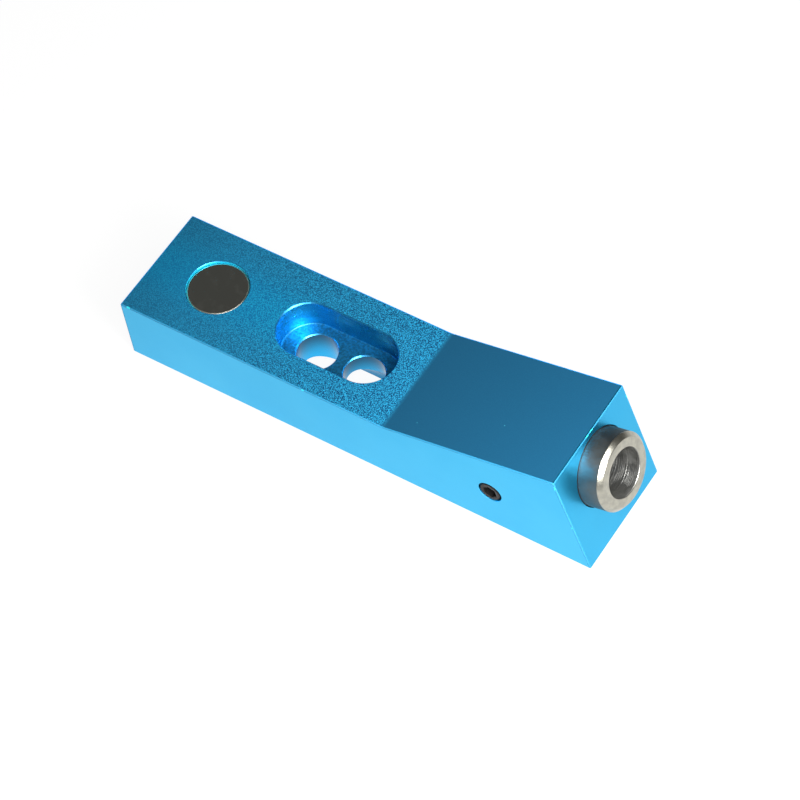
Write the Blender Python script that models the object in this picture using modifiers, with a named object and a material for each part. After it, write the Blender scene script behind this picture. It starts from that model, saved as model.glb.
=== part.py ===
# Pocket hole drill guide: a one-piece aluminium block that guides a step drill into timber at a
# slant. A hardened bushing sits in the slanted end, locked by a grub screw in the side. A round
# magnet is glued into the flat top, and a slot with two windows looks down into the drill way.
#
# Run with: blender --background --python part.py
# Units are metres, +Z is up and +X points to the bushing end. The block stands on its work face,
# and the origin is the middle of the bottom of the whole guide.

import math

import bmesh
import bpy

MM = 0.001

# Drill way
DRILL_DIAMETER = 9.5 * MM
DRILL_ANGLE = math.radians(15)  # from the work face
DRILL_CLEARANCE = 0.5 * MM  # each side, in the way below the bushing

# Bushing
BUSHING_WALL = 2.65 * MM
BUSHING_LENGTH = 28 * MM
BUSHING_PROUD = 5 * MM  # stands out of the end face
BUSHING_NOSE_CHAMFER = 0.9 * MM
BUSHING_LEAD_CHAMFER = 0.5 * MM  # at the inner end, to start it in its seat
BUSHING_BORE_BREAK = 0.3 * MM

# Walls of the block round the bushing seat
WALL_OVER_SEAT = 1.25 * MM  # at the end face
WALL_UNDER_SEAT = 1.3 * MM  # at the inner end, where the seat comes nearest to the work face
WALL_BESIDE_SEAT = 4.45 * MM

# Flat part of the block, along the length from the plain end
FLAT_THICKNESS = 15 * MM
END_TO_MAGNET_POCKET = 8.05 * MM
MAGNET_POCKET_TO_SLOT = 8.25 * MM
SLOT_TO_RAMP = 5.2 * MM
BEND_RADIUS = 5 * MM  # hollow between the flat top and the ramp

# Magnet
MAGNET_DIAMETER = 12 * MM
MAGNET_THICKNESS = 3 * MM
MAGNET_RECESS = 0.35 * MM  # below the flat top
MAGNET_EDGE_RADIUS = 0.35 * MM

# Slot and its two windows
WINDOW_INSET = 1.25 * MM  # how much narrower a window is than the drill way, each side
WINDOW_WEB = 2.5 * MM  # floor left between the two windows
SLOT_SIDE_LEDGE = 2 * MM
SLOT_END_LEDGE = 3.2 * MM
SLOT_FLOOR_WEB = 0.44 * MM  # floor left over the drill way at the slot's ramp end
DRILL_EXIT_PAST_SLOT_CENTRE = 2 * MM  # where the drill's axis meets the work face

# Grub screw, drawn at the mean diameter of its M5 thread
SCREW_DIAMETER = 4.48 * MM
SCREW_FROM_BUSHING_END = 6 * MM
SCREW_RECESS = 0.3 * MM
SCREW_CHAMFER = 0.4 * MM
SCREW_CUP_DIAMETER = 2.5 * MM
SCREW_CUP_DEPTH = 0.6 * MM
HEX_ACROSS_FLATS = 2.5 * MM
HEX_DEPTH = 2 * MM

# Edges and fits
EDGE_BREAK = 0.25 * MM  # on the block's outer edges
RIM_BREAK = 0.2 * MM  # on the rims of the slot and its windows
FIT_RIM_BREAK = 0.08 * MM  # on the rims of the holes that hold a piece
SIDE_GAP = 0.15 * MM  # round a piece in its hole
END_GAP = 0.3 * MM  # under a piece in its hole
CUTTER_REACH = 3 * MM  # how far a cutter runs out of the block

# Facets
BORE_STEPS = 96
HOLE_STEPS = 64
SCREW_STEPS = 48
CORNER_STEPS = 4

# Drill way and bushing, worked out
SIN = math.sin(DRILL_ANGLE)
COS = math.cos(DRILL_ANGLE)
BUSHING_RADIUS = DRILL_DIAMETER / 2 + BUSHING_WALL
SEAT_RADIUS = BUSHING_RADIUS + SIDE_GAP
SEAT_DEPTH = BUSHING_LENGTH - BUSHING_PROUD + END_GAP
WAY_RADIUS = DRILL_DIAMETER / 2 + DRILL_CLEARANCE
GUIDE_LENGTH = SEAT_DEPTH + (SEAT_RADIUS * COS + WALL_UNDER_SEAT) / SIN
WIDTH = 2 * (SEAT_RADIUS + WALL_BESIDE_SEAT)

# Magnet pocket and slot, worked out
POCKET_RADIUS = MAGNET_DIAMETER / 2 + SIDE_GAP
POCKET_DEPTH = MAGNET_RECESS + MAGNET_THICKNESS + END_GAP
MAGNET_X = END_TO_MAGNET_POCKET + POCKET_RADIUS
WINDOW_RADIUS = WAY_RADIUS - WINDOW_INSET
WINDOW_PITCH = 2 * WINDOW_RADIUS + WINDOW_WEB
SLOT_RADIUS = WINDOW_RADIUS + SLOT_SIDE_LEDGE
SLOT_HALF_LENGTH = WINDOW_PITCH / 2 + WINDOW_RADIUS + SLOT_END_LEDGE
SLOT_X = MAGNET_X + POCKET_RADIUS + MAGNET_POCKET_TO_SLOT + SLOT_HALF_LENGTH

# Places on the block's side view
EXIT_X = SLOT_X + DRILL_EXIT_PAST_SLOT_CENTRE
RAMP_X = SLOT_X + SLOT_HALF_LENGTH + SLOT_TO_RAMP
MOUTH_X = EXIT_X + GUIDE_LENGTH * COS
MOUTH_Z = GUIDE_LENGTH * SIN
TOP_X = MOUTH_X - (SEAT_RADIUS + WALL_OVER_SEAT) * SIN
TOP_Z = MOUTH_Z + (SEAT_RADIUS + WALL_OVER_SEAT) * COS
WORK_FACE_LENGTH = EXIT_X + GUIDE_LENGTH / COS
SLOT_FLOOR_Z = (SLOT_X + SLOT_HALF_LENGTH - EXIT_X) * SIN / COS + WAY_RADIUS / COS + SLOT_FLOOR_WEB

# The bushing's nose reaches furthest, at the lowest point of its end ring
NOSE_X = MOUTH_X + BUSHING_PROUD * COS + (BUSHING_RADIUS - BUSHING_NOSE_CHAMFER) * SIN
OVERALL_LENGTH = max(NOSE_X, WORK_FACE_LENGTH)

# Grub screw, worked out
SCREW_DEPTH_ALONG_DRILL = BUSHING_LENGTH - BUSHING_PROUD - SCREW_FROM_BUSHING_END
SCREW_X = MOUTH_X - SCREW_DEPTH_ALONG_DRILL * COS
SCREW_Z = MOUTH_Z - SCREW_DEPTH_ALONG_DRILL * SIN
SCREW_LENGTH = WIDTH / 2 - SCREW_RECESS - BUSHING_RADIUS - END_GAP
SCREW_HOLE_RADIUS = SCREW_DIAMETER / 2 + SIDE_GAP

# How a turned piece's own axis is turned to lie along the drill or to point out of the side
ALONG_DRILL = (0, math.pi / 2 - DRILL_ANGLE, 0)
OUT_OF_SIDE = (math.pi / 2, 0, 0)
UPRIGHT = (0, 0, 0)


def clear_scene():
    for obj in list(bpy.data.objects):
        bpy.data.objects.remove(obj, do_unlink=True)


def new_collection(name):
    collection = bpy.data.collections.new(name)
    bpy.context.scene.collection.children.link(collection)
    return collection


def new_material(name, colour, roughness, metallic):
    material = bpy.data.materials.new(name)
    material.use_nodes = True
    material.diffuse_color = (*colour, 1)
    shader = material.node_tree.nodes["Principled BSDF"]
    shader.inputs["Base Color"].default_value = (*colour, 1)
    shader.inputs["Roughness"].default_value = roughness
    shader.inputs["Metallic"].default_value = metallic
    return material


def place(obj, collection, location, rotation):
    """Puts an object in its collection, at its place in the block."""
    collection.objects.link(obj)
    obj.parent = bpy.data.objects["plain_end"]
    obj.location = location
    obj.rotation_euler = rotation


def frozen(obj):
    """The mesh of an object with its modifiers applied. The object is removed."""
    bpy.context.view_layer.update()
    graph = bpy.context.evaluated_depsgraph_get()
    mesh = bpy.data.meshes.new_from_object(obj.evaluated_get(graph))
    bpy.data.objects.remove(obj, do_unlink=True)
    return mesh


def weld(mesh):
    """Joins the loose ends and caps of a mesh, and turns its faces outwards."""
    shape = bmesh.new()
    shape.from_mesh(mesh)
    bmesh.ops.remove_doubles(shape, verts=shape.verts, dist=0.001 * MM)
    bmesh.ops.recalc_face_normals(shape, faces=shape.faces)
    shape.to_mesh(mesh)
    shape.free()


def make_flat_faces_whole(mesh):
    shape = bmesh.new()
    shape.from_mesh(mesh)
    flat = math.radians(1)
    bmesh.ops.dissolve_limit(shape, angle_limit=flat, verts=shape.verts, edges=shape.edges)
    shape.to_mesh(mesh)
    shape.free()


def shade(mesh):
    mesh.shade_smooth()
    mesh.set_sharp_from_angle(angle=math.radians(30))


def turned(name, profile, steps, closed=False):
    """A mesh turned round Z from (radius, height) points, which run down the outer side."""
    mesh = bpy.data.meshes.new(name)
    edges = [(i, i + 1) for i in range(len(profile) - 1)]
    if closed:
        edges.append((len(profile) - 1, 0))
    mesh.from_pydata([(radius, 0, height) for radius, height in profile], edges, [])
    obj = bpy.data.objects.new(name, mesh)
    bpy.context.scene.collection.objects.link(obj)
    screw = obj.modifiers.new("turn", "SCREW")
    screw.steps = steps
    screw.render_steps = steps
    screw.use_merge_vertices = True
    screw.merge_threshold = 0.001 * MM
    solid = frozen(obj)
    solid.name = name
    weld(solid)
    shade(solid)
    return solid


def rounded_corner(radius, height, size, turn):
    """Points of a quarter round between (radius, height) corners of a profile.

    turn is 1 where the profile goes from a top face into the outer side, and -1 at the bottom.
    """
    points = []
    for i in range(CORNER_STEPS + 1):
        angle = math.pi / 2 * i / CORNER_STEPS
        if turn < 0:
            angle = math.pi / 2 - angle
        across = radius - size + size * math.sin(angle)
        along = height - turn * size * (1 - math.cos(angle))
        points.append((across, along))
    return points


def countersunk(name, radius, depth, steps, rim_break, reach=CUTTER_REACH):
    """A cutter for a round hole that starts at Z = 0 and has a broken rim."""
    profile = [
        (0, reach),
        (radius + rim_break + reach, reach),
        (radius, -rim_break),
        (radius, -depth),
        (0, -depth),
    ]
    return turned(name, profile, steps)


def stretched(mesh, half_length):
    """Pulls the two halves of a turned mesh apart along X, so that a circle becomes a slot."""
    for vertex in mesh.vertices:
        vertex.co.x += math.copysign(half_length, vertex.co.x)
    return mesh


def add_cutter(mesh, location, rotation=UPRIGHT):
    obj = bpy.data.objects.new(mesh.name, mesh)
    place(obj, bpy.data.collections["cutters"], location, rotation)
    obj.hide_render = True
    obj.display_type = "WIRE"
    return obj


def add_part(name, mesh, location, rotation, material):
    obj = bpy.data.objects.new(name, mesh)
    place(obj, bpy.data.collections["hole_positioner"], location, rotation)
    mesh.materials.clear()
    mesh.materials.append(material)
    return obj


def cut(obj, cutter):
    boolean = obj.modifiers.new(cutter.name, "BOOLEAN")
    boolean.operation = "DIFFERENCE"
    boolean.solver = "EXACT"
    boolean.object = cutter


def bend_points():
    """The hollow curve of the side view, from the ramp down to the flat top."""
    slope = math.atan2(TOP_Z - FLAT_THICKNESS, TOP_X - RAMP_X)
    start_x = RAMP_X - BEND_RADIUS * math.tan(slope / 2)
    points = []
    for i in range(CORNER_STEPS + 1):
        angle = slope * (1 - i / CORNER_STEPS)
        along = start_x + BEND_RADIUS * math.sin(angle)
        points.append((along, FLAT_THICKNESS + BEND_RADIUS * (1 - math.cos(angle))))
    return points


def side_view_blank():
    """The block before its edges are broken and it is drilled: its side view, pulled to its width."""
    outline = [
        (0, 0),
        (WORK_FACE_LENGTH, 0),
        (TOP_X, TOP_Z),
        *bend_points(),
        (0, FLAT_THICKNESS),
    ]
    curve = bpy.data.curves.new("side_view", "CURVE")
    curve.dimensions = "2D"
    curve.fill_mode = "BOTH"
    curve.extrude = WIDTH / 2
    spline = curve.splines.new("POLY")
    spline.points.add(len(outline) - 1)
    for point, (along, up) in zip(spline.points, outline):
        point.co = (along, up, 0, 1)
    spline.use_cyclic_u = True
    obj = bpy.data.objects.new("side_view", curve)
    bpy.context.scene.collection.objects.link(obj)
    mesh = frozen(obj)
    mesh.name = "body"
    weld(mesh)
    make_flat_faces_whole(mesh)
    return mesh


def break_edges(obj):
    bevel = obj.modifiers.new("edge break", "BEVEL")
    bevel.width = EDGE_BREAK
    bevel.segments = 2
    bevel.limit_method = "ANGLE"
    bevel.angle_limit = math.radians(45)


def drill_way_cutter():
    """Bushing seat and drill way in one stepped shape, from the end face out of the work face."""
    way_length = GUIDE_LENGTH + WAY_RADIUS * COS / SIN + CUTTER_REACH
    profile = [
        (0, CUTTER_REACH),
        (SEAT_RADIUS + FIT_RIM_BREAK + CUTTER_REACH, CUTTER_REACH),
        (SEAT_RADIUS, -FIT_RIM_BREAK),
        (SEAT_RADIUS, -SEAT_DEPTH),
        (WAY_RADIUS, -SEAT_DEPTH),
        (WAY_RADIUS, -way_length),
        (0, -way_length),
    ]
    return add_cutter(turned("drill_way", profile, BORE_STEPS), (MOUTH_X, 0, MOUTH_Z), ALONG_DRILL)


def magnet_pocket_cutter():
    mesh = countersunk("magnet_pocket", POCKET_RADIUS, POCKET_DEPTH, BORE_STEPS, FIT_RIM_BREAK)
    return add_cutter(mesh, (MAGNET_X, 0, FLAT_THICKNESS))


def slot_cutter():
    depth = FLAT_THICKNESS - SLOT_FLOOR_Z
    mesh = countersunk("chip_slot", SLOT_RADIUS, depth, HOLE_STEPS, RIM_BREAK)
    # half a facet of turn leaves no point on the plane where the halves part
    turn_by = math.pi / HOLE_STEPS
    for vertex in mesh.vertices:
        x, y = vertex.co.x, vertex.co.y
        vertex.co.x = x * math.cos(turn_by) - y * math.sin(turn_by)
        vertex.co.y = x * math.sin(turn_by) + y * math.cos(turn_by)
    return add_cutter(stretched(mesh, SLOT_HALF_LENGTH - SLOT_RADIUS), (SLOT_X, 0, FLAT_THICKNESS))


def window_cutters():
    cutters = []
    depth = SLOT_FLOOR_Z + CUTTER_REACH
    reach = SLOT_SIDE_LEDGE / 2  # the cone of the rim stays off the slot's wall
    for name, side in (("window_near_magnet", -1), ("window_near_ramp", 1)):
        mesh = countersunk(name, WINDOW_RADIUS, depth, HOLE_STEPS, RIM_BREAK, reach)
        cutters.append(add_cutter(mesh, (SLOT_X + side * WINDOW_PITCH / 2, 0, SLOT_FLOOR_Z)))
    return cutters


def screw_hole_cutter():
    depth = WALL_BESIDE_SEAT + SEAT_RADIUS - WAY_RADIUS
    mesh = countersunk("screw_hole", SCREW_HOLE_RADIUS, depth, SCREW_STEPS, FIT_RIM_BREAK)
    return add_cutter(mesh, (SCREW_X, -WIDTH / 2, SCREW_Z), OUT_OF_SIDE)


def make_body(material):
    body = add_part("body", side_view_blank(), (0, 0, 0), OUT_OF_SIDE, material)
    break_edges(body)
    cutters = [drill_way_cutter(), magnet_pocket_cutter(), slot_cutter(), screw_hole_cutter()]
    for cutter in cutters + window_cutters():
        cut(body, cutter)


def make_drill_bushing(material):
    """A sleeve: down the outer side, then up the bore."""
    bore = DRILL_DIAMETER / 2
    nose = BUSHING_PROUD
    tail = BUSHING_PROUD - BUSHING_LENGTH
    profile = [
        (BUSHING_RADIUS - BUSHING_NOSE_CHAMFER, nose),
        (BUSHING_RADIUS, nose - BUSHING_NOSE_CHAMFER),
        (BUSHING_RADIUS, tail + BUSHING_LEAD_CHAMFER),
        (BUSHING_RADIUS - BUSHING_LEAD_CHAMFER, tail),
        (bore + BUSHING_BORE_BREAK, tail),
        (bore, tail + BUSHING_BORE_BREAK),
        (bore, nose - BUSHING_BORE_BREAK),
        (bore + BUSHING_BORE_BREAK, nose),
    ]
    mesh = turned("drill_bushing", profile, BORE_STEPS, closed=True)
    add_part("drill_bushing", mesh, (MOUTH_X, 0, MOUTH_Z), ALONG_DRILL, material)


def make_magnet(material):
    radius = MAGNET_DIAMETER / 2
    profile = [
        (0, 0),
        *rounded_corner(radius, 0, MAGNET_EDGE_RADIUS, 1),
        *rounded_corner(radius, -MAGNET_THICKNESS, MAGNET_EDGE_RADIUS, -1),
        (0, -MAGNET_THICKNESS),
    ]
    mesh = turned("magnet", profile, BORE_STEPS)
    add_part("magnet", mesh, (MAGNET_X, 0, FLAT_THICKNESS - MAGNET_RECESS), UPRIGHT, material)


def hex_socket_cutter():
    mesh = bpy.data.meshes.new("hex_socket")
    shape = bmesh.new()
    corner_radius = HEX_ACROSS_FLATS / 2 / math.cos(math.pi / 6)
    bmesh.ops.create_cone(
        shape,
        cap_ends=True,
        segments=6,
        radius1=corner_radius,
        radius2=corner_radius,
        depth=HEX_DEPTH + CUTTER_REACH,
    )
    middle = (CUTTER_REACH - HEX_DEPTH) / 2
    bmesh.ops.translate(shape, verts=shape.verts, vec=(0, 0, middle))
    shape.to_mesh(mesh)
    shape.free()
    return add_cutter(mesh, (SCREW_X, -WIDTH / 2 + SCREW_RECESS, SCREW_Z), OUT_OF_SIDE)


def make_set_screw(material):
    """Cup-pointed grub screw. Z = 0 is its socket end."""
    radius = SCREW_DIAMETER / 2
    cup = SCREW_CUP_DIAMETER / 2
    profile = [
        (0, 0),
        (radius - SCREW_CHAMFER, 0),
        (radius, -SCREW_CHAMFER),
        (radius, -SCREW_LENGTH + radius - cup),
        (cup, -SCREW_LENGTH),
        (0, -SCREW_LENGTH + SCREW_CUP_DEPTH),
    ]
    mesh = turned("set_screw", profile, SCREW_STEPS)
    place_in_block = (SCREW_X, -WIDTH / 2 + SCREW_RECESS, SCREW_Z)
    screw = add_part("set_screw", mesh, place_in_block, OUT_OF_SIDE, material)
    cut(screw, hex_socket_cutter())


def main():
    clear_scene()
    new_collection("hole_positioner")
    new_collection("cutters")
    plain_end = bpy.data.objects.new("plain_end", None)
    bpy.data.collections["hole_positioner"].objects.link(plain_end)
    plain_end.location = (-OVERALL_LENGTH / 2, 0, 0)
    make_body(new_material("blue_anodised_aluminium", (0.012, 0.19, 0.42), 0.38, 0.9))
    make_drill_bushing(new_material("ground_tool_steel", (0.36, 0.35, 0.33), 0.3, 1))
    make_magnet(new_material("nickel_plate", (0.62, 0.6, 0.56), 0.12, 1))
    make_set_screw(new_material("black_oxide_steel", (0.03, 0.027, 0.025), 0.4, 0.8))


main()
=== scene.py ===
import math

import bpy
from mathutils import Matrix, Vector


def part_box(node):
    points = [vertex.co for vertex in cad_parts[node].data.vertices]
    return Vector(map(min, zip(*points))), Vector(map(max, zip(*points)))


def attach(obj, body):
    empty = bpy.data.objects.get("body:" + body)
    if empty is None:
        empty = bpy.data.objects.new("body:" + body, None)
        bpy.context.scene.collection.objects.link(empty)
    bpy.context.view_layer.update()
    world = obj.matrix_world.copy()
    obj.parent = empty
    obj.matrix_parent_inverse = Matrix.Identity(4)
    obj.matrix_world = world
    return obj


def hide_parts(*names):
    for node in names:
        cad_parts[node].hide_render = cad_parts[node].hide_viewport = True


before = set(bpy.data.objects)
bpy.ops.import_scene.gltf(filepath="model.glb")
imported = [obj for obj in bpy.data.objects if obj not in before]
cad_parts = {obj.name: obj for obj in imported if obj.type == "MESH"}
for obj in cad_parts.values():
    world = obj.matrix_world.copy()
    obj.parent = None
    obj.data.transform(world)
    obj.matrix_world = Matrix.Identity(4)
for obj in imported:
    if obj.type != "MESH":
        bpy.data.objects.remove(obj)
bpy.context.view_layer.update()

MM = 0.001

# Camera, worked out from the block's edges and circles
CAMERA_PLACE = (221.8875 * MM, -253.301 * MM, 473.4837 * MM)
CAMERA_TURN = (35.19399, 5.95232, 32.63671)
CAMERA_LENS = 140.14818
SENSOR_WIDTH = 36

# Places of the pieces, from the middle of the bottom of the guide
UPRIGHT = Vector((0, 0, 1))
DRILL_ANGLE = math.radians(15)
ALONG_DRILL = Vector((math.cos(DRILL_ANGLE), 0, math.sin(DRILL_ANGLE)))
MOUTH = Vector((45.557 * MM, 0, 14.623 * MM))
MAGNET_TOP = Vector((-37.868 * MM, 0, 14.65 * MM))
SCREW_TOP = Vector((29.135 * MM, -11.95 * MM, 10.223 * MM))
FLAT_TOP = 15 * MM
SLOT_FLOOR = 8.676 * MM
SEAT_RADIUS = 7.55 * MM
WINDOW_RADIUS = 4 * MM
# Height below which the window walls carry the painted reflection
WINDOW_PAINTED_REFLECTION_BELOW = 2.2 * MM
BEND_START = 5.9 * MM
BEND_END = 7.3 * MM
SLOT_RADIUS = 6 * MM
SLOT_ENDS = (-17.4685 * MM, -4.5685 * MM)
FOOT_FILLET = 0.3 * MM
WINDOW_CENTRES = (-16.2685 * MM, -5.7685 * MM)

# Bushing
BUSHING_RADIUS = 7.42 * MM
BUSHING_NOSE = 4.97 * MM
BUSHING_TAIL = -23 * MM
NOSE_CHAMFER = 0.82 * MM
TAIL_CHAMFER = 0.5 * MM
BORE_RADIUS = 4.75 * MM
BORE_CHAMFER = 0.15 * MM
BORE_GROOVE = 0.022 * MM
BORE_GROOVE_PITCH = 0.7 * MM
BUSHING_STEPS = 128

# Magnet
MAGNET_RADIUS = 6.07 * MM
MAGNET_THICKNESS = 3 * MM
MAGNET_EDGE = 0.45 * MM

# Grub screw
SCREW_RADIUS = 2.37 * MM
SCREW_LENGTH = 4.25 * MM
SCREW_CHAMFER = 0.4 * MM
CUP_RADIUS = 1.25 * MM
CUP_DEPTH = 0.6 * MM
HEX_ACROSS_FLATS = 2.5 * MM
HEX_DEPTH = 2 * MM
HEX_TURN = 10
THREAD_PITCH = 0.8 * MM
THREAD_DEPTH = 0.12 * MM
SCREW_STEPS = 96
SCREW_RINGS = 28

# Sorting of the block's faces by finish
EDGE_BAND = 0.3 * MM
TOP_EDGE_BAND = 0.6 * MM
END_FACE_START = 40 * MM
RAMP_START = 5 * MM
ABOUT_LEVEL = 0.9
ABOUT_SQUARE = 0.95
FLAT = 0.97
TURNED_AWAY = 0.3

# Mesh repair
MERGE_DISTANCE = 0.0005 * MM
SAME_PLANE = math.radians(0.5)
ON_FOOT = 0.05 * MM

# Grain and marks, in number per metre
SIDE_GRAIN = 2500.0
TOP_GRAIN = 4950.0
SLOT_GRAIN = 2600.0
MAGNET_GRAIN = 700.0
TOP_DUST = 320.0
# Nicks on the edges, each painted as a glint
EDGE_NICK_GLINTS = 500.0
END_MILL_MARKS = 6000.0
DRILL_MARKS = 5000.0
RING_MARKS = 9000.0
BUSHING_SIDE_MARKS = 7000.0
BORE_MARKS = 3500.0

# Zones of the top's grain: along the block, and across it from the middle line
CALM_GRAIN_AT = -50 * MM
COARSE_GRAIN_AT = -5 * MM
CALM_GRAIN = 0.35
COARSE_GRAIN = 0.85
RAMP_CALMING = 0.7
# Painted shade: the top's colour darkens towards the plain end
SHADE_START = -36 * MM
SHADE_END = -52 * MM
SHADE_DEPTH = 0.16
BAND_EDGE = 10 * MM
BAND_CORE = 1 * MM
BAND_START = -20 * MM

# Lamps, each with its azimuth from +X towards +Y and its elevation in degrees, its distance, its
# size, its power and the point that it looks at
LAMPS = {
    "key": (-43, 47, 0.4, 0.34, 0.79, (0, 0, 0.012)),
    "near": (-36, 47, 0.13, 0.08, 0.5, (0.045, 0, 0.015)),
    "front": (-53, 53, 0.3, 0.07, 0.24, (-0.019, 0.004, 0.010)),
    "side": (10, 44, 0.35, 0.12, 0.2, (-0.038, 0, 0.014)),
}
ROOM_COLOUR = (1.0, 1.0, 0.96)
ROOM_LIGHT = 0.075

# Table
TABLE_SIZE = 12
TABLE_DROP = 0.05 * MM
TABLE_GREY = (0.1, 0.1, 0.1)
TABLE_SEEN = 0.93
# Painted fall-off of light: the table's glow in reflections is dimmer towards -X
TABLE_MIRRORED_FAR = 0.75
TABLE_MIRRORED_NEAR = 0.88
TABLE_PAINTED_FALLOFF = (-90 * MM, -30 * MM)

# Colours
SATIN_BLUE = (0.024, 0.50, 0.86)
SATIN_BLUE_PALE = (0.036, 0.53, 0.88)
# Painted shade: the end face's colours are deeper copies of the sides'
SHADED_END_BLUE = (0.023, 0.435, 0.765)
SHADED_END_BLUE_PALE = (0.033, 0.465, 0.785)
BLAST_PIT = (0.0, 0.035, 0.15)
BLAST_PEAK = (0.042, 0.58, 1.0)
BAND_PIT = (0.0, 0.08, 0.37)
BAND_PEAK = (0.024, 0.64, 1.0)
# Colour of the painted shade laid over the top at the plain end
PLAIN_END_PAINTED_SHADE = (0.0, 0.01, 0.03)
# Painted shade: the ramp's colours are darker than the flat's
SHADED_RAMP_PIT = (0.013, 0.13, 0.27)
SHADED_RAMP_PEAK = (0.021, 0.20, 0.385)
EDGE_BLUE = (0.035, 0.33, 0.60)
# Painted glints: the bright cyan of the edges' nicks
EDGE_NICK_GLINT = (0.04, 0.85, 0.98)
FAR_EDGE_BLUE = (0.0, 0.30, 0.80)
SLOT_PIT = (0.022, 0.25, 0.52)
SLOT_PEAK = (0.036, 0.42, 0.84)
MILLED_BLUE = (0.016, 0.40, 0.66)
# Painted highlight: the bright colour of the magnet pocket's wall
POCKET_PAINTED_HIGHLIGHT = (0.02, 0.62, 0.92)
# Window walls: painted shade up high and a painted reflection low down
WINDOW_PAINTED_SHADE = (0.010, 0.11, 0.22)
WINDOW_PAINTED_REFLECTION = (0.02, 0.50, 0.95)
# Painted shade: the drill way is darker than the slot's walls
SHADED_WAY_BLUE = (0.01, 0.24, 0.48)
STEEL_DARK = (0.38, 0.37, 0.32)
STEEL_LIGHT = (0.50, 0.485, 0.41)
# Painted shade: the bushing's outer side is darker than its rings
SHADED_STEEL_SIDE = (0.135, 0.150, 0.150)
# Painted shade: the bore's steel is darker than the rings'
SHADED_STEEL_BORE = (0.30, 0.30, 0.285)
NICKEL = (0.62, 0.63, 0.58)
# Painted highlight: the magnet rim's bright, warm colour
NICKEL_RIM_HIGHLIGHT = (0.95, 0.90, 0.76)
BLACK_OXIDE = (0.018, 0.014, 0.012)
# Painted shade: the socket is darker than the rest of the screw
SOCKET_PAINTED_SHADE = (0.006, 0.006, 0.006)
DUST = (0.06, 0.42, 0.60)


# Modelling


def select_only(piece):
    bpy.ops.object.select_all(action="DESELECT")
    piece.select_set(True)
    bpy.context.view_layer.objects.active = piece


def start_edit(piece, elements="FACE"):
    select_only(piece)
    bpy.ops.object.mode_set(mode="EDIT")
    bpy.ops.mesh.select_mode(type=elements)


def end_edit():
    bpy.ops.object.mode_set(mode="OBJECT")


def apply_place(piece):
    select_only(piece)
    bpy.ops.object.transform_apply(location=True, rotation=True, scale=True)


def apply_modifiers(piece):
    select_only(piece)
    for modifier in list(piece.modifiers):
        bpy.ops.object.modifier_apply(modifier=modifier.name)


def close_and_turn_out(piece):
    """Merges doubles and points the faces outwards."""
    start_edit(piece)
    bpy.ops.mesh.select_all(action="SELECT")
    bpy.ops.mesh.remove_doubles(threshold=MERGE_DISTANCE)
    bpy.ops.mesh.normals_make_consistent(inside=False)
    end_edit()


def soften_edges(piece, width, segments, angle):
    bevel = piece.modifiers.new("soft edges", "BEVEL")
    bevel.width = width
    bevel.segments = segments
    bevel.limit_method = "ANGLE"
    bevel.angle_limit = math.radians(angle)
    apply_modifiers(piece)


def shade(piece, angle):
    select_only(piece)
    bpy.ops.object.shade_smooth_by_angle(angle=math.radians(angle))


def turned_ring(name, profile, steps):
    """A closed ring, drawn out ring by ring along a profile of (radius, height) points."""
    bpy.ops.object.select_all(action="DESELECT")
    radius, height = profile[0]
    bpy.ops.mesh.primitive_circle_add(vertices=steps, radius=radius, location=(0, 0, height))
    piece = bpy.context.object
    piece.name = name
    apply_place(piece)
    start_edit(piece, "EDGE")
    bpy.ops.mesh.select_all(action="SELECT")
    for next_radius, next_height in profile[1:] + profile[:1]:
        rise = (0, 0, next_height - height)
        bpy.ops.mesh.extrude_edges_move(TRANSFORM_OT_translate={"value": rise})
        grow = next_radius / radius
        bpy.ops.transform.resize(value=(grow, grow, 1), center_override=(0, 0, 0))
        radius, height = next_radius, next_height
    end_edit()
    close_and_turn_out(piece)
    return piece


def point_along(piece, start, direction):
    """Lays a piece that was made along Z at its start point, along a direction."""
    turn = direction.to_track_quat("Z", "Y").to_matrix().to_4x4()
    piece.matrix_world = Matrix.Translation(start) @ turn
    apply_place(piece)


def hand_over(piece, node):
    """The piece takes the place of its solid and stays with the guide."""
    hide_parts(node)
    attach(piece, "root")


# Node groups

def new_group(name, inputs, outputs):
    """An empty node group. Its inputs are {name: (type, value)} and its outputs {name: type}."""
    group = bpy.data.node_groups.new(name, "ShaderNodeTree")
    for label, (kind, value) in inputs.items():
        socket = group.interface.new_socket(name=label, in_out="INPUT", socket_type=kind)
        socket.default_value = value
    for label, kind in outputs.items():
        group.interface.new_socket(name=label, in_out="OUTPUT", socket_type=kind)
    given = group.nodes.new("NodeGroupInput").outputs
    return group, given, group.nodes.new("NodeGroupOutput").inputs


def node(tree, kind, **values):
    """A shader node. Each value sets the attribute of that name or, where there is none, the input."""
    made = tree.nodes.new("ShaderNode" + kind)
    for label, value in values.items():
        if hasattr(made, label):
            setattr(made, label, value)
        else:
            made.inputs[label.replace("_", " ")].default_value = value
    return made


def feed(tree, socket, value):
    """Links a socket to another, or writes a plain value into it."""
    if isinstance(value, bpy.types.NodeSocket):
        tree.links.new(value, socket)
    elif isinstance(value, tuple) and socket.type == "RGBA":
        socket.default_value = (*value, 1)
    else:
        socket.default_value = value


def calculate(tree, operation, first, second=0.0):
    made = node(tree, "Math", operation=operation)
    feed(tree, made.inputs[0], first)
    feed(tree, made.inputs[1], second)
    return made.outputs[0]


def fade(tree, value, start, end, low=0.0, high=1.0):
    """Goes smoothly from low to high as value goes from start to end."""
    made = node(tree, "MapRange", interpolation_type="SMOOTHSTEP")
    for socket, content in zip(made.inputs, (value, start, end, low, high)):
        feed(tree, socket, content)
    return made.outputs[0]


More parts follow.
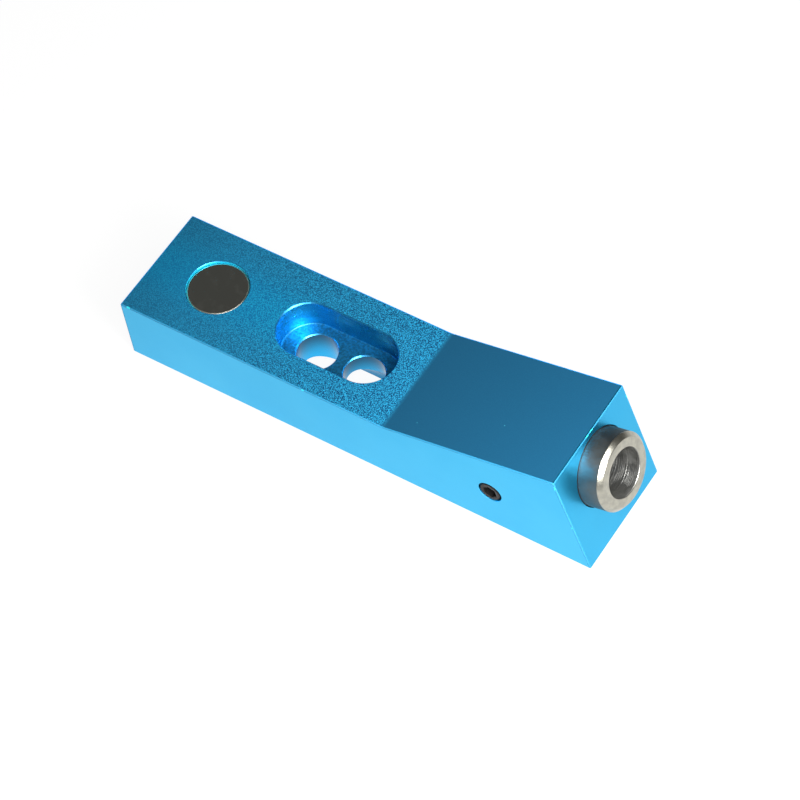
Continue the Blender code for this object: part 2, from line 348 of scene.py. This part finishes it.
def blend(tree, mask, first, second):
    made = node(tree, "Mix", data_type="RGBA")
    feed(tree, made.inputs["Factor"], mask)
    colours = [socket for socket in made.inputs if socket.type == "RGBA"]
    feed(tree, colours[0], first)
    feed(tree, colours[1], second)
    return [socket for socket in made.outputs if socket.type == "RGBA"][0]


def make_blast_grain():
    """Bead blasted pits: their height, and a mask that is 1 on the peaks between them."""
    group, given, result = new_group(
        "blast_grain",
        {"Pits per metre": ("NodeSocketFloat", 3000.0)},
        {"Height": "NodeSocketFloat", "Peaks": "NodeSocketFloat"},
    )
    place = node(group, "TexCoord").outputs["Object"]
    pits = node(group, "TexVoronoi", feature="SMOOTH_F1", Smoothness=0.5)
    ripple = node(group, "TexNoise", Detail=3.0, Roughness=0.65)
    for texture in (pits, ripple):
        feed(group, texture.inputs["Vector"], place)
        feed(group, texture.inputs["Scale"], given["Pits per metre"])
    height = calculate(group, "ADD", pits.outputs["Distance"], ripple.outputs[0])
    feed(group, result["Height"], height)
    feed(group, result["Peaks"], fade(group, ripple.outputs[0], 0.45, 0.57))
    return group


def make_turning_marks():
    """Fine marks of a cutter that lie square to an axis."""
    group, given, result = new_group(
        "turning_marks",
        {"Axis": ("NodeSocketVector", (0, 0, 1)), "Marks per metre": ("NodeSocketFloat", 5000.0)},
        {"Height": "NodeSocketFloat"},
    )
    place = node(group, "TexCoord").outputs["Object"]
    along = node(group, "VectorMath", operation="DOT_PRODUCT")
    feed(group, along.inputs[0], place)
    feed(group, along.inputs[1], given["Axis"])
    lines = node(group, "TexNoise", noise_dimensions="1D", Scale=1.0, Detail=2.0, Roughness=0.7)
    count = calculate(group, "MULTIPLY", along.outputs["Value"], given["Marks per metre"])
    feed(group, lines.inputs["W"], count)
    feed(group, result["Height"], lines.outputs[0])
    return group


def make_cloudiness():
    """Slow uneven patches, as on any finish."""
    group, given, result = new_group(
        "cloudiness",
        {"Patches per metre": ("NodeSocketFloat", 100.0)},
        {"Mask": "NodeSocketFloat"},
    )
    cloud = node(group, "TexNoise", Detail=4.0, Roughness=0.55)
    feed(group, cloud.inputs["Vector"], node(group, "TexCoord").outputs["Object"])
    feed(group, cloud.inputs["Scale"], given["Patches per metre"])
    feed(group, result["Mask"], fade(group, cloud.outputs[0], 0.3, 0.7))
    return group


def make_dust():
    """Sparse small specks."""
    group, given, result = new_group(
        "dust",
        {"Specks per metre": ("NodeSocketFloat", 300.0), "Size": ("NodeSocketFloat", 0.05)},
        {"Mask": "NodeSocketFloat"},
    )
    specks = node(group, "TexVoronoi")
    feed(group, specks.inputs["Vector"], node(group, "TexCoord").outputs["Object"])
    feed(group, specks.inputs["Scale"], given["Specks per metre"])
    seldom = node(group, "SeparateXYZ")
    feed(group, seldom.inputs[0], specks.outputs["Color"])
    near = calculate(group, "LESS_THAN", specks.outputs["Distance"], given["Size"])
    kept = calculate(group, "GREATER_THAN", seldom.outputs[0], 0.6)
    feed(group, result["Mask"], calculate(group, "MULTIPLY", near, kept))
    return group


BLAST_GRAIN = make_blast_grain()
TURNING_MARKS = make_turning_marks()
CLOUDINESS = make_cloudiness()
DUST_SPECKS = make_dust()


def use(tree, group, **values):
    made = tree.nodes.new("ShaderNodeGroup")
    made.node_tree = group
    for label, value in values.items():
        made.inputs[label.replace("_", " ")].default_value = value
    return made.outputs


# Materials

def new_material(name, colour, metallic, roughness, **sockets):
    material = bpy.data.materials.new(name)
    material.use_nodes = True
    shader = material.node_tree.nodes["Principled BSDF"]
    feed(material.node_tree, shader.inputs["Base Color"], colour)
    shader.inputs["Metallic"].default_value = metallic
    shader.inputs["Roughness"].default_value = roughness
    for socket, value in sockets.items():
        shader.inputs[socket.replace("_", " ")].default_value = value
    return material, material.node_tree, shader.inputs


def bump(tree, shader, height, strength, distance):
    made = node(tree, "Bump", Strength=strength, Distance=distance)
    feed(tree, made.inputs["Height"], height)
    feed(tree, shader["Normal"], made.outputs[0])


def uneven_roughness(tree, shader, patches, low, high):
    """Roughness that wanders between two values in slow patches."""
    cloud = use(tree, CLOUDINESS, Patches_per_metre=patches)
    feed(tree, shader["Roughness"], fade(tree, cloud["Mask"], 0.0, 1.0, low, high))


def cutter_marks(tree, shader, axis, marks_per_metre, strength, depth):
    """Fine marks of a cutter, square to an axis."""
    marks = use(tree, TURNING_MARKS, Axis=tuple(axis), Marks_per_metre=marks_per_metre)
    bump(tree, shader, marks["Height"], strength, depth)


def smooth_anodised(name, blue, pale_blue):
    """Smooth, with a thin clear layer and slow uneven patches."""
    material, tree, shader = new_material(
        name, blue, 1.0, 0.36, Coat_Weight=0.12, Coat_Roughness=0.3, Coat_IOR=1.6
    )
    grain = use(tree, BLAST_GRAIN, Pits_per_metre=SIDE_GRAIN)
    cloud = use(tree, CLOUDINESS, Patches_per_metre=60.0)
    feed(tree, shader["Base Color"], blend(tree, cloud["Mask"], blue, pale_blue))
    bump(tree, shader, grain["Height"], 0.1, 0.03 * MM)
    return material


def satin_anodised():
    """Sides, plain end and underside."""
    return smooth_anodised("satin_anodised", SATIN_BLUE, SATIN_BLUE_PALE)


def end_anodised():
    """The slanted end face, a little deeper in colour than the sides as painted shade."""
    return smooth_anodised("end_anodised", SHADED_END_BLUE, SHADED_END_BLUE_PALE)


def blasted_anodised():
    """Flat top and ramp. The grain is calm at the plain end, coarse up to the bend, and calm on the
    ramp. Painted shade darkens the ramp's colour, and the colour towards the plain end. A deeper
    blue band runs along the middle of the flat."""
    material, tree, shader = new_material(
        "blasted_anodised", BLAST_PEAK, 0.6, 0.45, Coat_Weight=0.15, Coat_Roughness=0.4, Coat_IOR=1.6
    )
    place = node(tree, "SeparateXYZ")
    feed(tree, place.inputs[0], node(tree, "TexCoord").outputs["Object"])
    along, across = place.outputs["X"], calculate(tree, "ABSOLUTE", place.outputs["Y"])
    ramp = fade(tree, along, BEND_START, BEND_END)
    # Painted shade that darkens the top towards the plain end
    painted_shade_at_end = fade(tree, along, SHADE_START, SHADE_END, 0.0, SHADE_DEPTH)
    lively = fade(tree, along, CALM_GRAIN_AT, COARSE_GRAIN_AT, CALM_GRAIN, COARSE_GRAIN)
    lively = calculate(tree, "SUBTRACT", lively, calculate(tree, "MULTIPLY", ramp, RAMP_CALMING))
    in_middle = fade(tree, across, BAND_EDGE, BAND_CORE)
    band = calculate(tree, "MULTIPLY", in_middle, fade(tree, along, 0.0, BAND_START))
    grain = use(tree, BLAST_GRAIN, Pits_per_metre=TOP_GRAIN)
    dust = use(tree, DUST_SPECKS, Specks_per_metre=TOP_DUST, Size=0.04)
    contrast = calculate(tree, "MULTIPLY", calculate(tree, "SUBTRACT", grain["Peaks"], 0.5), lively)
    peaks = calculate(tree, "ADD", contrast, 0.5)
    # The ramp's colours carry painted shade
    pit = blend(tree, ramp, blend(tree, band, BLAST_PIT, BAND_PIT), SHADED_RAMP_PIT)
    peak = blend(tree, ramp, blend(tree, band, BLAST_PEAK, BAND_PEAK), SHADED_RAMP_PEAK)
    metal = blend(tree, painted_shade_at_end, blend(tree, peaks, pit, peak), PLAIN_END_PAINTED_SHADE)
    specks = calculate(tree, "MULTIPLY", dust["Mask"], ramp)
    feed(tree, shader["Base Color"], blend(tree, specks, metal, DUST))
    bump(tree, shader, calculate(tree, "MULTIPLY", grain["Height"], lively), 0.9, 0.06 * MM)
    return material


def edge_anodised():
    """Broken outer edges: a line of their own with small nicks, painted bright cyan as glints."""
    material, tree, shader = new_material("edge_anodised", EDGE_BLUE, 0.3, 0.5)
    glinting_nicks = use(tree, DUST_SPECKS, Specks_per_metre=EDGE_NICK_GLINTS, Size=0.25)
    feed(tree, shader["Base Color"], blend(tree, glinting_nicks["Mask"], EDGE_BLUE, EDGE_NICK_GLINT))
    return material


def far_edge_anodised():
    """Broken edges that face away from the lamps: dull, with a deeper blue."""
    material, tree, shader = new_material(
        "far_edge_anodised", FAR_EDGE_BLUE, 0.0, 0.6, Specular_IOR_Level=0.0
    )
    uneven_roughness(tree, shader, 300.0, 0.55, 0.7)
    return material


def slot_anodised():
    """Floor and rims of the slot: milled and then lightly blasted."""
    material, tree, shader = new_material(
        "slot_anodised", SLOT_PEAK, 0.85, 0.3, Coat_Weight=0.2, Coat_Roughness=0.3, Coat_IOR=1.6
    )
    grain = use(tree, BLAST_GRAIN, Pits_per_metre=SLOT_GRAIN)
    feed(tree, shader["Base Color"], blend(tree, grain["Peaks"], SLOT_PIT, SLOT_PEAK))
    bump(tree, shader, grain["Height"], 0.25, 0.03 * MM)
    return material


def milled_anodised():
    """Walls of the slot and of the screw's hole, with the level rings that the cutter leaves."""
    material, tree, shader = new_material("milled_anodised", MILLED_BLUE, 0.95, 0.3)
    uneven_roughness(tree, shader, 400.0, 0.22, 0.28)
    cutter_marks(tree, shader, UPRIGHT, END_MILL_MARKS, 1.0, 0.07 * MM)
    return material


def pocket_anodised():
    """Wall of the magnet pocket: its bright colour is a painted highlight, with hardly any of it
    in sight above the magnet.
    """
    material, tree, shader = new_material("pocket_anodised", POCKET_PAINTED_HIGHLIGHT, 0.5, 0.4)
    uneven_roughness(tree, shader, 300.0, 0.35, 0.45)
    return material


def window_anodised():
    """Window walls: smooth, paler towards the drill way as a painted reflection of the table,
    and darker towards the slot as painted shade.
    """
    material, tree, shader = new_material(
        "window_anodised", WINDOW_PAINTED_REFLECTION, 1.0, 0.22, Coat_Weight=0.2, Coat_Roughness=0.2, Coat_IOR=1.6
    )
    height = node(tree, "SeparateXYZ")
    feed(tree, height.inputs[0], node(tree, "TexCoord").outputs["Object"])
    # Painted shade above, painted reflection below
    depth = fade(tree, height.outputs["Z"], WINDOW_PAINTED_REFLECTION_BELOW, SLOT_FLOOR)
    feed(tree, shader["Base Color"], blend(tree, depth, WINDOW_PAINTED_REFLECTION, WINDOW_PAINTED_SHADE))
    cutter_marks(tree, shader, UPRIGHT, END_MILL_MARKS, 0.1, 0.02 * MM)
    return material


def bored_anodised():
    """Drill way and bushing seat: darker as painted shade, with the marks of the drill."""
    material, tree, shader = new_material("bored_anodised", SHADED_WAY_BLUE, 1.0, 0.3)
    uneven_roughness(tree, shader, 500.0, 0.25, 0.35)
    cutter_marks(tree, shader, ALONG_DRILL, DRILL_MARKS, 0.3, 0.02 * MM)
    return material


def ground_steel():
    """Rings and chamfers at the bushing's ends."""
    material, tree, shader = new_material("ground_steel", STEEL_LIGHT, 1.0, 0.3)
    cloud = use(tree, CLOUDINESS, Patches_per_metre=700.0)
    feed(tree, shader["Base Color"], blend(tree, cloud["Mask"], STEEL_DARK, STEEL_LIGHT))
    cutter_marks(tree, shader, ALONG_DRILL, RING_MARKS, 0.2, 0.01 * MM)
    return material


def ground_side_steel():
    """Outer side of the bushing: dull, and darker as painted shade."""
    material, tree, shader = new_material("ground_side_steel", SHADED_STEEL_SIDE, 1.0, 0.5)
    uneven_roughness(tree, shader, 400.0, 0.46, 0.56)
    cutter_marks(tree, shader, ALONG_DRILL, BUSHING_SIDE_MARKS, 0.25, 0.01 * MM)
    return material


def turned_bore_steel():
    """Bore of the bushing, with the rings of its turning, its colour darkened as painted shade."""
    material, tree, shader = new_material("turned_bore_steel", SHADED_STEEL_BORE, 0.95, 0.4)
    uneven_roughness(tree, shader, 600.0, 0.32, 0.5)
    cutter_marks(tree, shader, ALONG_DRILL, BORE_MARKS, 1.0, 0.09 * MM)
    return material


def nickel_rim():
    """Rim of the magnet: duller than its face, in a brighter, warmer colour that is a painted
    highlight.
    """
    material, tree, shader = new_material("nickel_rim", NICKEL_RIM_HIGHLIGHT, 1.0, 0.28)
    uneven_roughness(tree, shader, 900.0, 0.3, 0.38)
    return material


def nickel_plate():
    """Faces of the magnet: nearly a mirror, with dull scuffs."""
    material, tree, shader = new_material("nickel_plate", NICKEL, 1.0, 0.12)
    scuffs = use(tree, CLOUDINESS, Patches_per_metre=650.0)
    grain = use(tree, BLAST_GRAIN, Pits_per_metre=MAGNET_GRAIN)
    feed(tree, shader["Roughness"], fade(tree, scuffs["Mask"], 0.4, 1.0, 0.09, 0.24))
    bump(tree, shader, grain["Height"], 0.12, 0.02 * MM)
    return material


def socket_black():
    """Inside of the hex socket: dull, and darker than the screw as painted shade."""
    material, tree, shader = new_material(
        "socket_black", SOCKET_PAINTED_SHADE, 0.0, 0.8, Specular_IOR_Level=0.05
    )
    uneven_roughness(tree, shader, 2500.0, 0.7, 0.9)
    return material


def black_oxide():
    """Outside of the grub screw."""
    material, tree, shader = new_material("black_oxide", BLACK_OXIDE, 0.8, 0.3)
    uneven_roughness(tree, shader, 1500.0, 0.24, 0.42)
    return material


# Pieces

def from_drill_axis(point):
    """How far a point is from the middle line of the drill way."""
    arm = point - MOUTH
    return (arm - arm.dot(ALONG_DRILL) * ALONG_DRILL).length


def from_window_axis(point):
    return min(math.hypot(point.x - x, point.y) for x in WINDOW_CENTRES)


def face_finish(centre, normal, low, high):
    """The finish of a face of the block, by where it lies and where it looks."""
    along_drill = normal.dot(ALONG_DRILL)
    slanted = max(abs(normal.y), normal.z, -normal.x, along_drill) < FLAT
    outside = min(centre.x - low.x, high.y - abs(centre.y)) < EDGE_BAND
    if centre.z < EDGE_BAND:
        return satin_anodised
    if outside or centre.z > high.z - TOP_EDGE_BAND:
        if not slanted:
            return end_anodised if along_drill > ABOUT_SQUARE else satin_anodised
        at_back = normal.y > TURNED_AWAY and normal.z > TURNED_AWAY
        return far_edge_anodised if at_back or normal.x < -TURNED_AWAY else edge_anodised
    if normal.z > ABOUT_LEVEL and (centre.z > FLAT_TOP - 0.1 * MM or centre.x > RAMP_START):
        return blasted_anodised
    if along_drill > ABOUT_SQUARE and centre.x > END_FACE_START:
        return end_anodised
    below_slot = centre.x < 0 and centre.z < SLOT_FLOOR - EDGE_BAND
    if below_slot and from_window_axis(centre) < 1.02 * WINDOW_RADIUS:
        return window_anodised
    past_pocket = centre.x > MAGNET_TOP.x + 10 * MM
    if past_pocket and from_drill_axis(centre) < SEAT_RADIUS + 0.05 * MM:
        return bored_anodised
    if abs(normal.z) > TURNED_AWAY:
        return slot_anodised
    in_pocket = math.hypot(centre.x - MAGNET_TOP.x, centre.y) < 1.1 * MAGNET_RADIUS
    return pocket_anodised if in_pocket else milled_anodised


BLOCK_FINISHES = (
    satin_anodised,
    blasted_anodised,
    edge_anodised,
    slot_anodised,
    window_anodised,
    bored_anodised,
    milled_anodised,
    far_edge_anodised,
    end_anodised,
    pocket_anodised,
)


def on_slot_foot(point):
    """True for a point on the line where the slot's wall meets its floor."""
    past_end = max(SLOT_ENDS[0] - point.x, point.x - SLOT_ENDS[1], 0)
    from_wall = abs(math.hypot(past_end, point.y) - SLOT_RADIUS)
    return max(from_wall, abs(point.z - SLOT_FLOOR)) < ON_FOOT


def round_slot_foot(block):
    """The end mill leaves a small fillet round the floor of the slot."""
    weights = block.data.attributes.new("bevel_weight_edge", "FLOAT", "EDGE")
    for edge in block.data.edges:
        corners = [block.data.vertices[i].co for i in edge.vertices]
        weights.data[edge.index].value = float(all(on_slot_foot(corner) for corner in corners))
    fillet = block.modifiers.new("slot foot", "BEVEL")
    fillet.limit_method = "WEIGHT"
    fillet.width = FOOT_FILLET
    fillet.segments = 4
    apply_modifiers(block)


def make_guide_block():
    """A merged copy of the solid, with its flat faces whole again and its edges shaded round."""
    block = bpy.data.objects.new("guide_block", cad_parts["body"].data.copy())
    bpy.context.scene.collection.objects.link(block)
    select_only(block)
    bpy.ops.mesh.customdata_custom_splitnormals_clear()
    start_edit(block)
    bpy.ops.mesh.select_all(action="SELECT")
    bpy.ops.mesh.remove_doubles(threshold=MERGE_DISTANCE)
    bpy.ops.mesh.dissolve_limited(angle_limit=SAME_PLANE)
    end_edit()
    round_slot_foot(block)
    block.data.materials.clear()
    for finish in BLOCK_FINISHES:
        block.data.materials.append(finish())
    low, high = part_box("body")
    for face in block.data.polygons:
        finish = face_finish(face.center, face.normal, low, high)
        face.material_index = BLOCK_FINISHES.index(finish)
    shade(block, 30)
    even = block.modifiers.new("even shading", "WEIGHTED_NORMAL")
    even.keep_sharp = True
    apply_modifiers(block)
    hand_over(block, "body")


def bore_profile():
    """Points down the bore from its nose end, in shallow turned grooves."""
    start, end = BUSHING_NOSE - BORE_CHAMFER, BUSHING_TAIL + BORE_CHAMFER
    count = round((start - end) / BORE_GROOVE_PITCH)
    points = []
    for i in range(count + 1):
        height = start + (end - start) * i / count
        points.append((BORE_RADIUS, height))
        if i < count:
            points.append((BORE_RADIUS + BORE_GROOVE, height + (end - start) / count / 2))
    return points


BUSHING_FINISHES = (ground_steel, ground_side_steel, turned_bore_steel)


def bushing_finish(centre, normal):
    if from_drill_axis(centre) < BORE_RADIUS + 0.1 * MM:
        return turned_bore_steel
    on_side = abs(normal.dot(ALONG_DRILL)) < 0.1
    return ground_side_steel if on_side else ground_steel


def make_bushing():
    profile = [
        (BORE_RADIUS + BORE_CHAMFER, BUSHING_NOSE),
        *bore_profile(),
        (BORE_RADIUS + BORE_CHAMFER, BUSHING_TAIL),
        (BUSHING_RADIUS - TAIL_CHAMFER, BUSHING_TAIL),
        (BUSHING_RADIUS, BUSHING_TAIL + TAIL_CHAMFER),
        (BUSHING_RADIUS, BUSHING_NOSE - NOSE_CHAMFER),
        (BUSHING_RADIUS - NOSE_CHAMFER, BUSHING_NOSE),
    ]
    bushing = turned_ring("bushing", profile, BUSHING_STEPS)
    soften_edges(bushing, 0.1 * MM, 3, 35)
    point_along(bushing, MOUTH, ALONG_DRILL)
    for finish in BUSHING_FINISHES:
        bushing.data.materials.append(finish())
    for face in bushing.data.polygons:
        face.material_index = BUSHING_FINISHES.index(bushing_finish(face.center, face.normal))
    shade(bushing, 40)
    hand_over(bushing, "drill_bushing")


def make_magnet():
    """A disc with rounded rims."""
    bpy.ops.object.select_all(action="DESELECT")
    middle = MAGNET_TOP - Vector((0, 0, MAGNET_THICKNESS / 2))
    bpy.ops.mesh.primitive_cylinder_add(
        vertices=128, radius=MAGNET_RADIUS, depth=MAGNET_THICKNESS, location=middle
    )
    magnet = bpy.context.object
    magnet.name = "disc_magnet"
    apply_place(magnet)
    soften_edges(magnet, MAGNET_EDGE, 8, 60)
    magnet.data.materials.append(nickel_plate())
    magnet.data.materials.append(nickel_rim())
    for face in magnet.data.polygons:
        face.material_index = 0 if abs(face.normal.z) > 0.99 else 1
    shade(magnet, 40)
    hand_over(magnet, "magnet")


def cut_hex_socket(screw):
    bpy.ops.object.select_all(action="DESELECT")
    corner = HEX_ACROSS_FLATS / 2 / math.cos(math.pi / 6)
    turn = (0, 0, math.radians(HEX_TURN))
    bpy.ops.mesh.primitive_cylinder_add(
        vertices=6, radius=corner, depth=2 * HEX_DEPTH, location=(0, 0, 0), rotation=turn
    )
    key = bpy.context.object
    apply_place(key)
    socket = screw.modifiers.new("hex socket", "BOOLEAN")
    socket.object = key
    apply_modifiers(screw)
    bpy.data.objects.remove(key)


def cut_thread(screw):
    """Draws the side in and out along a helix. The ends stay round."""
    for vertex in screw.data.vertices:
        x, y, z = vertex.co
        radius = math.hypot(x, y)
        if radius < SCREW_RADIUS - 0.02 * MM:
            continue
        turn = (z / THREAD_PITCH - math.atan2(y, x) / math.tau) % 1
        depth = THREAD_DEPTH * (1 - abs(2 * turn - 1))
        vertex.co.x *= 1 - depth / radius
        vertex.co.y *= 1 - depth / radius


def make_grub_screw():
    """A cup pointed screw with a hex socket, made standing on its cup end and laid in its hole."""
    top, bottom = -SCREW_CHAMFER, -SCREW_LENGTH + SCREW_RADIUS - CUP_RADIUS
    heights = [top + (bottom - top) * i / SCREW_RINGS for i in range(SCREW_RINGS + 1)]
    side = [(SCREW_RADIUS, height) for height in heights]
    profile = [(SCREW_RADIUS - SCREW_CHAMFER, 0), *side, (CUP_RADIUS, -SCREW_LENGTH)]
    bpy.ops.object.select_all(action="DESELECT")
    radius, height = profile[0]
    bpy.ops.mesh.primitive_circle_add(vertices=SCREW_STEPS, radius=radius, fill_type="NGON")
    screw = bpy.context.object
    screw.name = "grub_screw"
    start_edit(screw)
    bpy.ops.mesh.select_all(action="SELECT")
    for next_radius, next_height in profile[1:]:
        drop = (0, 0, next_height - height)
        bpy.ops.mesh.extrude_region_move(TRANSFORM_OT_translate={"value": drop})
        grow = next_radius / radius
        bpy.ops.transform.resize(value=(grow, grow, 1), center_override=(0, 0, 0))
        radius, height = next_radius, next_height
    bpy.ops.mesh.inset(thickness=0.2 * MM)
    bpy.ops.transform.translate(value=(0, 0, CUP_DEPTH))
    end_edit()
    close_and_turn_out(screw)
    cut_thread(screw)
    cut_hex_socket(screw)
    soften_edges(screw, 0.05 * MM, 2, 50)
    point_along(screw, SCREW_TOP, Vector((0, -1, 0)))
    for finish in (black_oxide, socket_black):
        screw.data.materials.append(finish())
    for face in screw.data.polygons:
        arm = face.center - SCREW_TOP
        near_middle = math.hypot(arm.x, arm.z) < 0.6 * HEX_ACROSS_FLATS
        in_socket = near_middle and 0.05 * MM < arm.y < 1.1 * HEX_DEPTH
        face.material_index = 1 if in_socket else 0
    shade(screw, 35)
    hand_over(screw, "set_screw")


# Surroundings

def make_floor():
    """A pale table that shows white, lights the sides from below and keeps a soft shadow. Its glow
    in reflections is painted paler towards +X, as a fall-off of the light from the lamps there.
    """
    bpy.ops.object.select_all(action="DESELECT")
    bpy.ops.mesh.primitive_plane_add(size=TABLE_SIZE, location=(0, 0, -TABLE_DROP))
    floor = bpy.context.object
    floor.name = "floor"
    material, tree, shader = new_material(
        "pale_table", TABLE_GREY, 0.0, 0.9, Specular_IOR_Level=0.0
    )
    path = node(tree, "LightPath").outputs
    place = node(tree, "SeparateXYZ")
    feed(tree, place.inputs[0], node(tree, "TexCoord").outputs["Object"])
    mirrored = calculate(tree, "MAXIMUM", path["Is Glossy Ray"], path["Is Transmission Ray"])
    # Painted fall-off of light along the table
    strength = fade(tree, place.outputs["X"], *TABLE_PAINTED_FALLOFF, TABLE_MIRRORED_FAR, TABLE_MIRRORED_NEAR)
    mirrored = calculate(tree, "MULTIPLY", mirrored, strength)
    seen = calculate(tree, "MULTIPLY", path["Is Camera Ray"], TABLE_SEEN)
    glow = node(tree, "Emission", Color=(1, 1, 1, 1))
    feed(tree, glow.inputs["Strength"], calculate(tree, "MAXIMUM", seen, mirrored))
    both = node(tree, "AddShader")
    feed(tree, both.inputs[0], tree.nodes["Principled BSDF"].outputs[0])
    feed(tree, both.inputs[1], glow.outputs[0])
    feed(tree, tree.nodes["Material Output"].inputs["Surface"], both.outputs[0])
    floor.data.materials.append(material)


def add_lamp(name, azimuth, elevation, distance, size, power, aim):
    """A square soft box that looks at a point."""
    around, up = math.radians(azimuth), math.radians(elevation)
    out = Vector((math.cos(around) * math.cos(up), math.sin(around) * math.cos(up), math.sin(up)))
    light = bpy.data.lights.new(name, "AREA")
    light.size = size
    light.energy = power
    lamp = bpy.data.objects.new(name, light)
    bpy.context.scene.collection.objects.link(lamp)
    lamp.location = Vector(aim) + out * distance
    lamp.rotation_euler = out.to_track_quat("Z", "Y").to_euler()
    lamp.visible_camera = False


def make_room():
    world = bpy.data.worlds.new("room")
    bpy.context.scene.world = world
    world.use_nodes = True
    background = world.node_tree.nodes["Background"]
    background.inputs["Color"].default_value = (*ROOM_COLOUR, 1)
    background.inputs["Strength"].default_value = ROOM_LIGHT
    for name, values in LAMPS.items():
        add_lamp(name, *values)


def make_camera():
    data = bpy.data.cameras.new("camera")
    data.lens = CAMERA_LENS
    data.sensor_width = SENSOR_WIDTH
    data.clip_start = 0.01
    camera = bpy.data.objects.new("camera", data)
    bpy.context.scene.collection.objects.link(camera)
    camera.location = CAMERA_PLACE
    camera.rotation_euler = [math.radians(angle) for angle in CAMERA_TURN]
    bpy.context.scene.camera = camera
    bpy.context.scene.view_settings.view_transform = "Standard"


make_camera()
make_room()
make_floor()
make_guide_block()
make_bushing()
make_magnet()
make_grub_screw()
